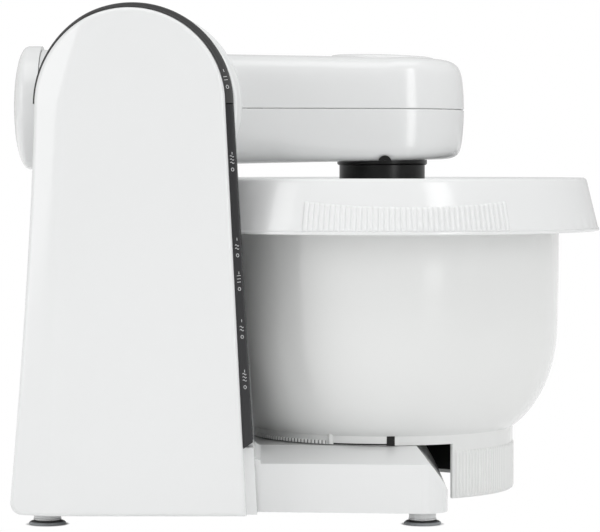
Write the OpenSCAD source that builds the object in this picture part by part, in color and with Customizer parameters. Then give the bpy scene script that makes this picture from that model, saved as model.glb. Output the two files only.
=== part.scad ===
// Compact kitchen mixer: a tall tower, a swivel arm with the motor and gears,
// and a bowl with its lid on a low platform.
// Millimetres. +X runs from the tower to the bowl and +Z is up. Sizes are taken from
// the bowl's axis and from the table; place() then moves the whole machine so that
// the origin lies under the middle of its outline.

/* [Tower] */
// Height of the arm's pivot above the table
pivot_z = 254.5; // [254:0.1:255]
// Distance of the arm's pivot behind the bowl's axis
pivot_back = 152; // [151.5:0.1:153]
// Radius of the arch round the pivot
arch_r = 60; // [58:0.5:62]
// Outer face of the tower, sideways from the bowl's axis
tower_side = 126.3; // [124:0.1:130]
// Inner face of the tower, beside the arm
tower_inner = 54; // [53.8:0.1:54.2]
// How far the rear edge runs out towards the bottom
rear_flare = 16; // [10:0.5:20]
// How far the front edge runs out towards the bottom
front_flare = 13.9; // [12:0.1:15]
// Side of the lower housing that is away from the tower's outer face
block_side = 49; // [48.5:0.1:50]
// Top of the lower housing, under the arm's rear end
block_top = 164.5; // [163.5:0.1:165]
// Wall of the moulded casings
wall = 3; // [2.5:0.1:3.2]

/* [Trim] */
// Width of the dark trim at the front of the arch
trim_front = 4.8; // [4:0.1:6]
// Width of the dark trim where it ends behind the arch
trim_back = 1; // [0.8:0.1:1.5]

/* [Platform] */
// Top of the platform under the bowl
platform_top = 46.4; // [46:0.1:47]
// Height of the platform's side wall
platform_side_h = 38; // [34:0.5:40]
// Side of the platform nearest the tower's outer face
platform_near = 112.6; // [110:0.1:114]
// Far side of the platform
platform_far = 96; // [92:0.5:100]
// Front of the platform at its foot
platform_front = 40.8; // [40:0.1:41]

/* [Arm] */
// Front of the arm, ahead of the bowl's axis
arm_front = 52.1; // [51:0.1:54]
// Rear end of the arm's shells, behind the bowl's axis
arm_rear = 216.5; // [216.5:0.1:217]
// Half the arm's width
arm_half_w = 49.5; // [49:0.1:49.8]
// Half the arm's height at its rear end
arm_h_rear = 37; // [36.5:0.1:37.5]
// Half the arm's height at its front end
arm_h_front = 32; // [31.8:0.1:32.5]
// Radius of the round boss on the arm's flank
boss_r = 63.7; // [60:0.1:66]
// Radius of the round cover on the arm's rear end
cover_r = 39.3; // [38.5:0.1:39.5]
// Tip of the rear cover, behind the bowl's axis
cover_tip = 234.3; // [233:0.1:235]

/* [Bowl and lid] */
// Outer radius of the bowl under its rim
bowl_r = 112.8; // [112:0.1:113.5]
// Height of the bowl's rim
bowl_rim_z = 186.5; // [186:0.1:187]
// Wall of the bowl
bowl_wall = 2.5; // [2:0.1:3]
// Outer radius of the bowl's foot ring
foot_ring_r = 83.8; // [83.5:0.1:84]
// Top of the foot ring
foot_ring_top = 53; // [52.8:0.1:53.2]
// Lower edge of the deep skirt at the front
skirt_z = 13; // [12:0.1:16]
// Half the angle that the deep skirt spans
skirt_angle = 60.5; // [58:0.5:61]
// Outer radius of the lid
lid_r = 138.3; // [137:0.1:139]
// Radius of the lid's upper edge
lid_top_r = 130; // [128:0.1:132]
// Lower edge of the lid
lid_z0 = 176.6; // [175:0.1:178]
// Upper edge of the lid
lid_z1 = 210; // [209:0.1:211]

/* [Drive] */
// Outer radius of the drive collar
collar_r = 27.3; // [27:0.1:28]
// Distance of the tool's own axis from the bowl's axis
orbit = 18; // [18:0.1:18]
// Teeth of the planet gear
planet_teeth = 15; // [15]
// Teeth of the pinion on the intermediate shaft
pinion_teeth = 15; // [15]
// Teeth of the main gear
main_teeth = 45; // [45]
// Teeth of the worm wheel
wheel_teeth = 30; // [30]

/* [Controls and feet] */
// Radius of the speed knob
knob_r = 27; // [20:0.5:30]
// Radius of the release button
button_r = 9; // [7:0.5:10]
// Underside of the casings above the table
foot_h = 8.6; // [8:0.1:9]
// Radius of the suction feet
foot_r = 11.5; // [10:0.5:13]

/* [Hidden] */
$fn = 72;
eps = 0.5;
fit = 0.04;          // radial clearance of what turns or slides in a bore
gap = 0.3;           // clearance between moving bodies that don't guide each other

// Casings
pivot_x = -pivot_back;
parting_y = -104.5;   // plane where the tower's two casings meet
crown_front = 8.3;   // how far the tower's face falls back at its front edge
crown_rear = 18.3;   // and at its rear edge
crown_reach = 34;    // how far in from the edge the face is rounded
corner_r = 7;
near_arch_r = arch_r - (trim_front + trim_back)/2;
near_arch_x = pivot_x - (trim_front - trim_back)/2;
near_flare = front_flare - 1.6;
trim_foot_z = 49;
joint_x = -84.4;     // plane where the platform meets the tower
recess_top_r = lid_r + 2.2;
recess_foot_r = 118;
recess_z = 170;
block_round = 14;
base_rear = -218;    // rear edge of the opening that the base plate closes

// Arm
hub_y = -53.4;       // face of the boss on the arm's flank
taper_x = -150;      // behind this the arm narrows to its round rear end
rear_half_w = 38.5;
flank_x = [-arm_rear, -205, -193, -181, -170, -160, taper_x, -110, -70, -30];

// Pivot
axle_r = 14;
bush_r = 17;
disc_r = 30;
plate_y = [-94, -64]; // outer faces of the pivot frame's two plates
plate_t = 4;

// Motor along the arm
shaft_r = 4;
stator_r = 27;
stator_x = [-154, -98];
bearing_r = 11;
shield_x = [-190, -72];

// Gears
spur_m = 1.25;
ring_m = 1.2;
ring_teeth = planet_teeth + 2*orbit/ring_m;
worm_r = 6;
worm_lift = 1;
worm_c = 22.35;
wheel_r = 16;
lead = 2*PI*wheel_r/wheel_teeth;
spur_c = spur_m*(pinion_teeth + main_teeth)/2;
wheel_x = -sqrt(spur_c*spur_c - worm_c*worm_c);
wheel_angle = atan2(worm_c, wheel_x);
ring_z = [228.5, 236.5];
spur_z = [239, 246.5];
wheel_z = [250.5, 258.5];
box_z = [226, 263];
box_r = 38.5;
head_z = [205, 222];
shaft_end_z = 271;

// Catch
lever_y = -72.5;
lever_z = 200;
button_z = 143;
button_travel = 5;
knob_x = -168;
knob_z = 95;

// Feet
feet = [[-206, -93], [22, -93], [-206, 33], [22, 60]];
post_r = 8.3;
foot_t = 4;

// ---- Where the machine stands ------------------------------------------------
module place() translate([(cover_tip - lid_r)/2, 0, 0]) children();

// ---- Round bars along each axis ----------------------------------------------
module rod_x(r, x0, x1, y=0, z=pivot_z) translate([x0, y, z]) rotate([0, 90, 0]) cylinder(r=r, h=x1 - x0);
module rod_y(r, y0, y1, x, z) translate([x, y1, z]) rotate([90, 0, 0]) cylinder(r=r, h=y1 - y0);
module rod_z(r, z0, z1, x=0, y=0) translate([x, y, z0]) cylinder(r=r, h=z1 - z0);
module ring_x(ro, ri, x0, x1, y=0, z=pivot_z) difference() {
  rod_x(ro, x0, x1, y, z);
  rod_x(ri, x0 - eps, x1 + eps, y, z);
}
module ring_y(ro, ri, y0, y1, x, z) difference() {
  rod_y(ro, y0, y1, x, z);
  rod_y(ri, y0 - eps, y1 + eps, x, z);
}
module ring_z(ro, ri, z0, z1, x=0, y=0) difference() {
  rod_z(ro, z0, z1, x, y);
  rod_z(ri, z0 - eps, z1 + eps, x, y);
}
module block(lo, hi) translate(lo) cube(hi - lo);
// A side view, with X to the right and Z up, made solid from y0 to y1
module side_solid(y0, y1) translate([0, y1, 0]) rotate([90, 0, 0]) linear_extrude(y1 - y0) children();

// ---- Skins through loops of points -------------------------------------------
// Two triangles for each step between two loops of m points that start at a and at b
function band(a, b, m) = [for (j = [0:m-1]) let (k = (j + 1) % m)
  each [[a + j, b + j, b + k], [a + j, b + k, a + k]]];
function fan_up(a, m) = [[for (j = [m-1:-1:0]) a + j]];
function fan_down(a, m) = [[for (j = [0:m-1]) a + j]];
// Cup: the first half of the n loops runs up its outside, the rest down its inside
function cup_bands(n, m) = [for (i = [0:n-1]) if (i != n/2 - 1) each band(i*m, ((i + 1) % n)*m, m)];
// Strips across a loop that is the same on both sides of its middle
function strips(a, m, up) = [for (j = [0:m/2 - 1.5]) let (p = a + j, q = a + m - 1 - j)
  each up ? [[p, q, q - 1], [p, q - 1, p + 1]] : [[p, q - 1, q], [p, p + 1, q - 1]]];

// ---- Outline of the tower seen from the side ----------------------------------
// Rear and front edges at height z, for an arch of radius r round x, d inside the edge
function rear_edge(x, r, z) = x - r - rear_flare*pow((pivot_z - z)/(pivot_z - foot_h), 1.4);
function front_edge(x, r, z, flare) = x + r + flare*(pivot_z - z)/(pivot_z - foot_h);
function tower_loop(x, r, flare, d) = concat(
  [for (i = [0:5]) let (z = foot_h + d + (pivot_z - foot_h - d)*i/6) [front_edge(x, r, z, flare) - d, z]],
  [for (i = [0:22]) let (a = 180*i/22) [x + (r - d)*cos(a), pivot_z + (r - d)*sin(a)]],
  [for (i = [1:9]) let (z = pivot_z - (pivot_z - foot_h - d - corner_r)*i/9)
    [rear_edge(x, r, z) + d, z]],
  [for (i = [1:3]) let (a = 30*i, z = foot_h + d + corner_r*(1 - sin(a)), dx = corner_r*(1 - cos(a)))
    [rear_edge(x, r, foot_h + d + corner_r) + d + dx, z]]);
// The tower's face falls back towards its edges, more at the rear than at the front
function crown(x) = crown_front + (crown_rear - crown_front)*(pivot_x + arch_r - x)/(2*arch_r);
function face_y(x, d) = crown(x)*pow(1 - d/crown_reach, 2.4) - tower_side;
crown_steps = [0, 1, 3, 6.5, 11.5, 18, 26, crown_reach];
function face_loop(d, deep) = [for (p = tower_loop(near_arch_x, near_arch_r, near_flare, d + deep))
  [p[0], face_y(p[0], d) + deep, p[1]]];
function parting_loop(deep) = [for (p = tower_loop(near_arch_x, near_arch_r, near_flare, deep))
  [p[0], parting_y, p[1]]];

// Same outline as an exact solid: arch of radius r round x, d inside the edge
module tower_side_view(x, r, flare, d) {
  polygon([for (p = tower_loop(x, r, flare, d)) if (p[1] <= pivot_z + eps) p]);
  intersection() {
    translate([x, pivot_z]) circle(r - d);
    translate([x - r, pivot_z - eps]) square([2*r, r + 2*eps]);
  }
}
module tower_solid(y0, y1, d) side_solid(y0, y1) tower_side_view(pivot_x, arch_r, front_flare, d);
module near_solid(y0, y1) side_solid(y0, y1) tower_side_view(near_arch_x, near_arch_r, near_flare, 0);

// Room for the bowl and lid, grown outwards and downwards by d
module bowl_room(d) rotate_extrude() polygon([[0, platform_top - d], [recess_foot_r + d, platform_top - d],
  [recess_top_r + d, recess_z], [recess_top_r + d, pivot_z + 2*arch_r], [0, pivot_z + 2*arch_r]]);

// Lower housing under the arm, d inside its faces
module lower_block(y0, d) intersection() {
  tower_solid(y0, block_side - d, d);
  translate([-300, 0, 0]) rotate([90, 0, 90]) linear_extrude(300) {
    translate([y0, 0]) square([block_side - d - y0, block_top - block_round]);
    translate([y0, 0]) square([block_side - block_round - y0, block_top - d]);
    translate([block_side - block_round, block_top - block_round]) circle(block_round - d);
  }
}

// ---- Tower ----------------------------------------------------------------------
// Screws that join the two casings: [x, z, distance inside the outer casing's edge, where
// the pillar starts, where the head sits]. The two lower heads sit down deep wells.
head_side = -tower_inner - wall;
screw_spots = [[-178, 286, 18, -tower_inner, head_side], [-194, 190, 20, -tower_inner, head_side],
  [-203, 50, 22, block_side, -85], [-129.2, 70, crown_reach, block_side, -85]];

module tower_shell() color("whitesmoke") place() {
  outer = concat([parting_loop(0)], [for (d = crown_steps) face_loop(d, 0)]);
  inner = concat([for (i = [len(crown_steps)-1:-1:0]) face_loop(crown_steps[i], wall)], [parting_loop(wall)]);
  loops = concat(outer, inner);
  n = len(loops);
  m = len(loops[0]);
  polyhedron([for (l = loops) each l],
    concat(cup_bands(n, m), fan_up((n/2 - 1)*m, m), fan_down(n/2*m, m)));
  for (p = screw_spots) difference() {
    block([p[0] - 4, face_y(p[0] - 4, p[2] - 4) + 1, p[1] - 4], [p[0] + 4, parting_y, p[1] + 4]);
    rod_y(1.6, parting_y - 14, parting_y + eps, p[0], p[1]);
  }
}

module tower_inner_shell() color("whitesmoke") place() difference() {
  union() {
    difference() {
      union() {
        tower_solid(parting_y, -tower_inner, 0);
        lower_block(-tower_inner - eps, 0);
      }
      bowl_room(0);
      block([joint_x, -150, 0], [0, 100, platform_top + eps]);
      difference() {
        union() {
          tower_solid(parting_y - eps, -tower_inner - wall, wall);
          lower_block(-tower_inner - 2*wall, wall);
          block([base_rear, parting_y - eps, 0], [joint_x + eps, block_side - wall, foot_h + 2*wall]);
        }
        bowl_room(wall);
      }
    }
    for (p = screw_spots) rod_y(5, parting_y, p[3] - eps, p[0], p[1]);
    block([pivot_x - 11, 21, button_z - 11], [pivot_x + 11, 24, block_top - eps]);
  }
  for (p = screw_spots) {
    rod_y(1.6, parting_y - eps, p[4] + eps, p[0], p[1]);
    rod_y(3.3, p[4], p[3] + eps, p[0], p[1]);
  }
  rod_y(axle_r + 2, -tower_inner - 2*wall, -tower_inner + eps, pivot_x, pivot_z);
  rod_y(button_r + gap, block_side - 2*wall, block_side + eps, pivot_x, button_z);
  rod_y(4, 20, 25, pivot_x, button_z);
  rod_y(4, block_side - 2*wall, block_side + eps, knob_x, knob_z);
  rod_x(7, -240, -215, 0, 30);
}

// Dark trim: what the tower's outline has outside the outer casing
module trim_band() intersection() {
  difference() {
    tower_solid(-tower_side, parting_y, 0);
    near_solid(-tower_side - eps, parting_y + eps);
    bowl_room(0);
  }
  linear_extrude(400) polygon([for (x = [-230, -60]) each [[x, crown(x) - tower_side]], [-60, 0], [-230, 0]]);
}
module arch_trim() color("dimgray") place() intersection() {
  trim_band();
  block([-240, -150, pivot_z], [0, 0, 400]);
}
module front_trim() color("#37383a") place() intersection() {
  trim_band();
  block([pivot_x, -150, trim_foot_z], [0, 0, pivot_z]);
}

// ---- Platform and base --------------------------------------------------------
function arc(x, y, r, a0, a1, n) = [for (i = [0:n]) let (a = a0 + (a1 - a0)*i/n) [x + r*cos(a), y + r*sin(a)]];
// Plan of the platform, d inside its edge
function platform_plan(d) = concat(
  [[joint_x, d - platform_near + 9.4]],
  arc(22, 15 - platform_near, 15 - d, -95, -8, 5),
  [for (y = [-70, -35, 0, 35, 65]) [platform_front - 5.1*pow(y/108, 2) - d, y]],
  arc(24, platform_far - 14, 14 - d, 8, 90, 5),
  [[joint_x, platform_far - d]]);
module platform_solid(d) intersection() {
  linear_extrude(platform_top - d) polygon(platform_plan(d));
  side_solid(-150, 150) polygon(concat([[joint_x, foot_h - eps], [60, foot_h - eps]],
    [for (i = [0:7]) let (t = i/7) [platform_front - d - 22*pow(t, 1.65), foot_h + (platform_top - foot_h)*t - d*t]],
    [[joint_x, platform_top - d]]));
  translate([-120, 0, 0]) rotate([90, 0, 90]) linear_extrude(200) polygon([[-150, 0],
    [-150, platform_top - d], [84 - d/2, platform_top - d],
    [platform_far - d, platform_side_h], [platform_far - d, 0]]);
  // Shoulder along the slanting near side
  translate([15, -platform_near, 0]) rotate([0, 0, -5.4]) translate([-250, 0, 0]) rotate([90, 0, 90])
    linear_extrude(400) polygon([[d - 8, 0], [d - 8, platform_side_h - 2.4], [29 + d/2, platform_top - d],
      [300, platform_top - d], [300, 0]]);
}
// Room beside the foot for the end of the bowl's skirt when the bowl is turned
module skirt_room(d) difference() {
  block([14 - d, 40, -1], [60, 120, 80]);
  rod_z(foot_ring_r - bowl_wall - 0.8 - d, -2, 90);
}

module platform() color("whitesmoke") place() {
  difference() {
    platform_solid(0);
    skirt_room(0);
    block([joint_x - eps, -130, 0], [60, 130, foot_h]);
    difference() {
      translate([-eps, 0, -eps]) platform_solid(wall);
      skirt_room(wall);
      block([joint_x - 1, block_side - wall, 0], [joint_x + wall, 130, 60]);
      block([joint_x - 1, -130, 0], [joint_x + wall, parting_y, 60]);
    }
  }
  intersection() {
    difference() {
      tower_solid(-117, parting_y, 0);
      near_solid(-118, parting_y + eps);
    }
    block([-90, -118, foot_h], [-70, parting_y, trim_foot_z]);
  }
}

base_play = 0.3;
module base_outline() difference() {
  union() {
    translate([base_rear + base_play, parting_y + base_play])
      square([joint_x - base_rear - 2*base_play, block_side - wall - parting_y - 2*base_play]);
    translate([joint_x - 2, -96]) square([10, block_side - wall + 96 - base_play]);
    intersection() {
      polygon(platform_plan(wall + 0.5 + base_play));
      translate([joint_x + wall + base_play, -150]) square(300);
    }
  }
  difference() {
    translate([14 - wall - base_play, 40]) square([60, 80]);
    circle(foot_ring_r - bowl_wall - 1.1 - wall);
  }
}
base_screw_spots = [[-190, -40], [-60, -70], [-60, 70], [5, -20]];
module base_plate() color("gainsboro") place() difference() {
  union() {
    translate([0, 0, foot_h]) linear_extrude(wall) base_outline();
    for (p = base_screw_spots) rod_z(5, foot_h, foot_h + 6, p[0], p[1]);
  }
  for (p = base_screw_spots) {
    rod_z(1.9, 0, 40, p[0], p[1]);
    rod_z(3.6, 0, foot_h + 2, p[0], p[1]);
  }
}
module base_screws() color("silver") place() for (p = base_screw_spots) {
  rod_z(3.5, foot_h, foot_h + 2, p[0], p[1]);
  rod_z(1.9, foot_h, foot_h + 14, p[0], p[1]);
}
module foot_posts() color("lightgray") place() for (p = feet) {
  rod_z(post_r, foot_t, foot_h, p[0], p[1]);
  rod_z(post_r - 3, foot_t - 1.4, foot_t, p[0], p[1]);
}
module suction_foot(p) color("#3c3d40") place() translate([p[0], p[1], 0]) rotate_extrude()
  polygon([[0, 1.4], [post_r - 3, 1.4], [foot_r - 2, 0], [foot_r, 0], [foot_r, 0.9], [foot_r - 1.6, 2.6],
    [post_r - 0.6, foot_t], [post_r - 3, foot_t], [post_r - 3, foot_t - 1.4], [0, foot_t - 1.4]]);
module suction_foot_near_rear() suction_foot(feet[0]);
module suction_foot_near_front() suction_foot(feet[1]);
module suction_foot_far_rear() suction_foot(feet[2]);
module suction_foot_far_front() suction_foot(feet[3]);

module bowl_seat() color("gainsboro") place() difference() {
  ring_z(foot_ring_r - bowl_wall - 1.6, 62, platform_top, platform_top + 3.4);
  block([13, -90, 0], [90, 90, 80]);
}
module cord_inlet() color("#2c2c2e") place() difference() {
  union() {
    rod_x(9.5, -231, -227.1, 0, 30);
    rod_x(7, -227.1, -216, 0, 30);
  }
  rod_x(4, -232, -215, 0, 30);
}

// ---- Pivot, catch and controls ----------------------------------------------------
module frame_plate(y) difference() {
  union() {
    rod_y(21, y, y + plate_t, pivot_x, pivot_z);
    block([-185, y, foot_h + wall], [-135.5, y + plate_t, pivot_z]);
  }
}
module pivot_frame() color("darkgray") place() difference() {
  union() {
    difference() {
      union() {
        frame_plate(plate_y[0]);
        frame_plate(plate_y[1]);
      }
      bowl_room(wall + 0.5);
    }
    block([-189, plate_y[0], foot_h + wall], [-185, plate_y[1] + plate_t, pivot_z]);
    for (x = [pivot_x - 10, pivot_x + 5]) block([x, lever_y - 5, lever_z - 5], [x + 5, plate_y[1], lever_z + 5]);
  }
  rod_y(bush_r, -100, -50, pivot_x, pivot_z);
  rod_y(5, -66, -50, pivot_x, button_z);
  rod_x(3, pivot_x - 12, pivot_x + 12, lever_y, lever_z);
}
module pivot_bush_near() color("peru") place() ring_y(bush_r, axle_r + fit, plate_y[0] - 1, plate_y[0] + 5, pivot_x, pivot_z);
module pivot_bush_far() color("peru") place() ring_y(bush_r, axle_r + fit, plate_y[1] - 1, plate_y[1] + 5, pivot_x, pivot_z);
module lever_pin() color("silver") place() rod_x(3, pivot_x - 10, pivot_x + 10, lever_y, lever_z);

module switch_module() color("#22506b") place() difference() {
  union() {
    block([knob_x - 21, 18, knob_z - 22], [knob_x + 19, 40, knob_z + 22]);
    rod_y(6, 40, block_side - wall, knob_x, knob_z);
  }
  rod_y(3 + fit, 36, block_side, knob_x, knob_z);
}
module speed_knob() color("#d8d9da") place() difference() {
  union() {
    rod_y(knob_r, block_side + gap, block_side + 9, knob_x, knob_z);
    rod_y(knob_r - 3, block_side + 9, block_side + 10.5, knob_x, knob_z);
    intersection() {
      block([knob_x - 5.5, block_side, knob_z - knob_r], [knob_x + 5.5, block_side + 18, knob_z + knob_r]);
      rod_y(knob_r - 2, block_side + 5, block_side + 18, knob_x, knob_z);
    }
    rod_y(3, 37, block_side + 4, knob_x, knob_z);
  }
  ring_y(knob_r - 3, 8, block_side, block_side + 6, knob_x, knob_z);
}
module release_button() color("#d8d9da") place() {
  rod_y(button_r, block_side - wall - 2, block_side + 7, pivot_x, button_z);
  rod_y(button_r + 2, block_side - wall - 5, block_side - wall - 1.5, pivot_x, button_z);
  rod_y(3.5, lever_y + 3.1, block_side - wall - 5, pivot_x, button_z);
}
module latch_lever() color("silver") place() difference() {
  union() {
    translate([pivot_x - 3, 0, 0]) rotate([90, 0, 90]) linear_extrude(6) {
      translate([lever_y - 2.5, button_z - 5]) square([5, 232 - button_z + 5]);
      translate([lever_y - 11, 227.5]) square([9, 4.5]);
    }
    rod_x(5.5, pivot_x - 3, pivot_x + 3, lever_y, lever_z);
  }
  rod_x(3 + fit, pivot_x - 4, pivot_x + 4, lever_y, lever_z);
}
// Wire of radius w wound n turns of radius r along Y
module coil(r, w, n, y0, y1) {
  steps = 14*n;
  sides = 6;
  polyhedron([for (i = [0:steps]) let (a = 360*n*i/steps, y = y0 + w + (y1 - y0 - 2*w)*i/steps)
      for (j = [0:sides-1]) let (b = 360*j/sides, q = r + w*cos(b)) [q*cos(a), y + w*sin(b), q*sin(a)]],
    concat([[for (j = [sides-1:-1:0]) j]],
      [for (i = [0:steps-1], j = [0:sides-1]) let (k = (j + 1) % sides)
        each [[i*sides + j, i*sides + k, (i + 1)*sides + k], [i*sides + j, (i + 1)*sides + k, (i + 1)*sides + j]]],
      [[for (j = [0:sides-1]) steps*sides + j]]));
}
module latch_spring() color("silver") place() translate([pivot_x, 0, button_z])
  coil(6, 0.6, 6, 24, block_side - wall - 5);

module housing_screws() color("silver") place() for (p = screw_spots) {
  rod_y(3.1, p[4], p[4] + 2.2, p[0], p[1]);
  rod_y(1.6, parting_y - 12, p[4], p[0], p[1]);
}

// ---- Arm ----------------------------------------------------------------------------
function smooth(t) = t*t*(3 - 2*t);
function taper(x) = smooth(min(1, max(0, (taper_x - x)/(taper_x + arm_rear))));
function half_w(x) = arm_half_w + (rear_half_w - arm_half_w)*taper(x);
function half_h(x) = arm_h_rear + (arm_h_front - arm_h_rear)*(x + arm_rear)/(arm_front + arm_rear);
// Plan of the arm as [x, half width]: flanks, then a full round nose
function arm_plan() = concat([for (x = flank_x) [x, -half_w(x)]],
  [for (i = [0:18]) let (a = 10*i - 90) [arm_front*pow(cos(a), 0.9), arm_half_w*sign(a)*pow(abs(sin(a)), 0.9)]],
  [for (i = [len(flank_x)-1:-1:0]) [flank_x[i], half_w(flank_x[i])]]);
// Loop on the shell at angle v up from the seam: squareness n at the front, round at the rear
function arm_loop(v, n, d) = [for (p = arm_plan())
  let (x = p[0], e = 2/(n + (2 - n)*taper(x)), k = pow(cos(v), e), s = pow(sin(v), e),
       nx = x > 0 ? x*(arm_front - d)/arm_front*k : max(x, d - arm_rear), w = (abs(p[1]) - d*abs(p[1])/half_w(min(x, 0)))*k)
  [nx, sign(p[1])*w, (half_h(nx) - d)*s]];
arm_steps = [0, 12, 25, 38, 50, 60, 68, 75, 81, 86];
module arm_half(n) {
  loops = concat([for (v = arm_steps) arm_loop(v, n, 0)],
    [for (i = [len(arm_steps)-1:-1:0]) arm_loop(arm_steps[i], n, wall)]);
  c = len(loops);
  m = len(loops[0]);
  polyhedron([for (l = loops) each l],
    concat(cup_bands(c, m), strips((c/2 - 1)*m, m, true), strips(c/2*m, m, false)));
}
module hub_boss(z0, z1) intersection() {
  rod_y(boss_r, hub_y, 1.2 - arm_half_w, pivot_x, pivot_z);
  block([-210, hub_y, pivot_z + z0], [0, 0, pivot_z + z1]);
}
// Screws that join the arm's halves: [x, y, pillar's top, pillar's foot]
arm_screw_spots = [[-110, 38, 31.5, -33.5], [-110, -38, 31.5, -33.5], [43.8, 0, 24, -30.5]];

module arm_upper_shell() color("whitesmoke") place() difference() {
  union() {
    translate([0, 0, pivot_z]) arm_half(6);
    hub_boss(0, 30);
    for (p = arm_screw_spots) rod_z(4, pivot_z, pivot_z + p[2], p[0], p[1]);
  }
  rod_z(34.5, pivot_z + 20, pivot_z + 60);
  rod_y(axle_r, -60, -40, pivot_x, pivot_z);
  rod_x(20, -arm_rear - eps, -arm_rear + 2*wall);
  for (p = arm_screw_spots) rod_z(1.6, pivot_z - eps, pivot_z + 20, p[0], p[1]);
}
module arm_lower_shell() color("whitesmoke") place() difference() {
  union() {
    translate([0, 0, pivot_z]) mirror([0, 0, 1]) arm_half(12);
    hub_boss(-30, 0);
    for (p = arm_screw_spots) rod_z(4, pivot_z + p[3], pivot_z, p[0], p[1]);
  }
  rod_z(collar_r, 200, 230);
  rod_y(axle_r, -60, -40, pivot_x, pivot_z);
  rod_x(20, -arm_rear - eps, -arm_rear + 2*wall);
  rod_y(4.7, -60, -40, 1.9, 220.8);
  for (p = arm_screw_spots) {
    rod_z(1.6, 200, pivot_z + eps, p[0], p[1]);
    rod_z(3.2, 200, pivot_z - 26, p[0], p[1]);
  }
}
module arm_screws() color("silver") place() for (p = arm_screw_spots) {
  rod_z(3.1, pivot_z - 28, pivot_z - 26, p[0], p[1]);
  rod_z(1.6, pivot_z - 26, pivot_z + 18, p[0], p[1]);
}

module pivot_axle() color("silver") place() {
  ring_y(axle_r, 11, plate_y[0] - 4, -43, pivot_x, pivot_z);
  ring_y(21, 11, -43, -40, pivot_x, pivot_z);
}
module axle_clip() color("dimgray") place() ring_y(17.5, axle_r, plate_y[0] - 3, plate_y[0] - 1.4, pivot_x, pivot_z);
// Disc on the axle with the window that the lever's nose stands in
module index_disc() color("darkgray") place() difference() {
  ring_y(disc_r, axle_r, lever_y - 11.5, lever_y - 8.5, pivot_x, pivot_z);
  difference() {
    ring_y(27.6, 20.8, lever_y - 13, lever_y - 7, pivot_x, pivot_z);
    translate([pivot_x + 3.4, -100, pivot_z - 40]) cube([40, 40, 80]);
    translate([pivot_x - 40, -100, pivot_z + 3.4]) cube([80, 40, 80]);
  }
}
module drive_collar() color("#101012") place() {
  ring_z(collar_r, 25.3, lid_z1 - 6, box_z[0]);
  ring_z(28.7, collar_r - 1, 219.2, 221);
}
// Shallow dome with a rolled edge, its depth growing with the square of the radius
cover_dome = 4.1;
cover_flat = cover_r - 3.3;
function dome(r, d) = [r, d - cover_tip + cover_dome*pow(r/cover_flat, 2)];
module rear_cover() color("whitesmoke") place() translate([0, 0, pivot_z]) rotate([0, 90, 0])
  rotate_extrude() polygon(concat([for (i = [0:5]) dome(cover_flat*i/5, 0)],
    [for (a = [30:20:90]) [cover_flat + 3.3*sin(a), cover_dome + 3.6*(1 - cos(a)) - cover_tip]],
    [[cover_r, -arm_rear - gap], [cover_r - wall, -arm_rear - gap], [cover_r - wall, 7.5 - cover_tip]],
    [for (i = [5:-1:0]) dome((cover_flat - 1.5)*i/5, wall)]));

// ---- Motor --------------------------------------------------------------------------
module motor_stator() color("slategray") place() ring_x(stator_r, 16.6, stator_x[0], stator_x[1]);
module stator_windings() color("chocolate") place() {
  ring_x(24.5, 17.5, stator_x[0] - 9, stator_x[0]);
  ring_x(24.5, 17.5, stator_x[1], stator_x[1] + 9);
}
module motor_shield(x, out) {
  difference() {
    union() {
      rod_x(31, x, x + 4);
      rod_x(13.5, x - (out < 0 ? 4 : 0), x + (out < 0 ? 4 : 8));
    }
    rod_x(bearing_r, x - 10, x + 14);
    for (a = [45:90:315]) rod_x(6, x - 1, x + 5, 21*cos(a), pivot_z + 21*sin(a));
  }
}
module motor_shield_rear() color("darkgray") place() motor_shield(shield_x[0], -1);
module motor_shield_front() color("darkgray") place() {
  motor_shield(shield_x[1], 1);
  for (a = [90:120:330]) rod_x(1.6, shield_x[0] + 4, shield_x[1] + 2, (stator_r + 2)*cos(a), pivot_z + (stator_r + 2)*sin(a));
}
module motor_bearings() color("lightsteelblue") place() {
  ring_x(bearing_r, shaft_r + fit, shield_x[0] - 4, shield_x[0] + 4);
  ring_x(bearing_r, shaft_r + fit, shield_x[1], shield_x[1] + 8);
}
module brush_holders() color("goldenrod") place() for (s = [-1, 1]) difference() {
  block([-178.5, min(s*14, s*27), pivot_z - 5], [-169.5, max(s*14, s*27), pivot_z + 5]);
  block([-177, min(s*13, s*28), pivot_z - 3.6], [-171, max(s*13, s*28), pivot_z + 3.6]);
}
module carbon_brushes() color("#333333") place() for (s = [-1, 1])
  difference() {
    block([-176.9, min(s*8, s*24), pivot_z - 3.5], [-171.1, max(s*8, s*24), pivot_z + 3.5]);
    rod_x(11 + fit, -180, -168);
  }
module motor_shaft() color("silver") place() {
  rod_x(shaft_r, -212, -46);
  rod_x(3, -46, wheel_x + 13);
}
module armature() color("slategray") place() ring_x(16, shaft_r, stator_x[0], stator_x[1]);
module commutator() color("#b8703a") place() ring_x(11, shaft_r, -180, -166);
module cooling_fan() color("#2c2c2e") place() difference() {
  union() {
    ring_x(9, shaft_r, -86, -76);
    ring_x(25, shaft_r, -78, -76);
    for (a = [0:45:315]) translate([-84, 0, pivot_z]) rotate([a, 0, 0]) block([0, 8, -0.8], [7, 24.5, 0.8]);
  }
  rod_x(shaft_r, -90, -70);
}
module worm() color("silver") place() difference() {
  length = 24;
  turn = 360*length/lead;
  translate([wheel_x - length/2, 0, pivot_z]) rotate([0, 90, 0]) rotate(turn/2 - 90)
    linear_extrude(length, twist=turn, slices=60, $fn=16) translate([worm_lift, 0]) circle(worm_r);
  rod_x(3, wheel_x - length, wheel_x + length);
}
module blender_coupling() color("#2c2c2e") place() difference() {
  rod_x(14, -213, -199);
  rod_x(shaft_r, -213 + 10, -198);
  rod_x(5, -214, -203);
  for (a = [0:60:300]) translate([-214, 0, pivot_z]) rotate([a, 0, 0]) block([0, 8, -1.5], [5, 15, 1.5]);
}

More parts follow.
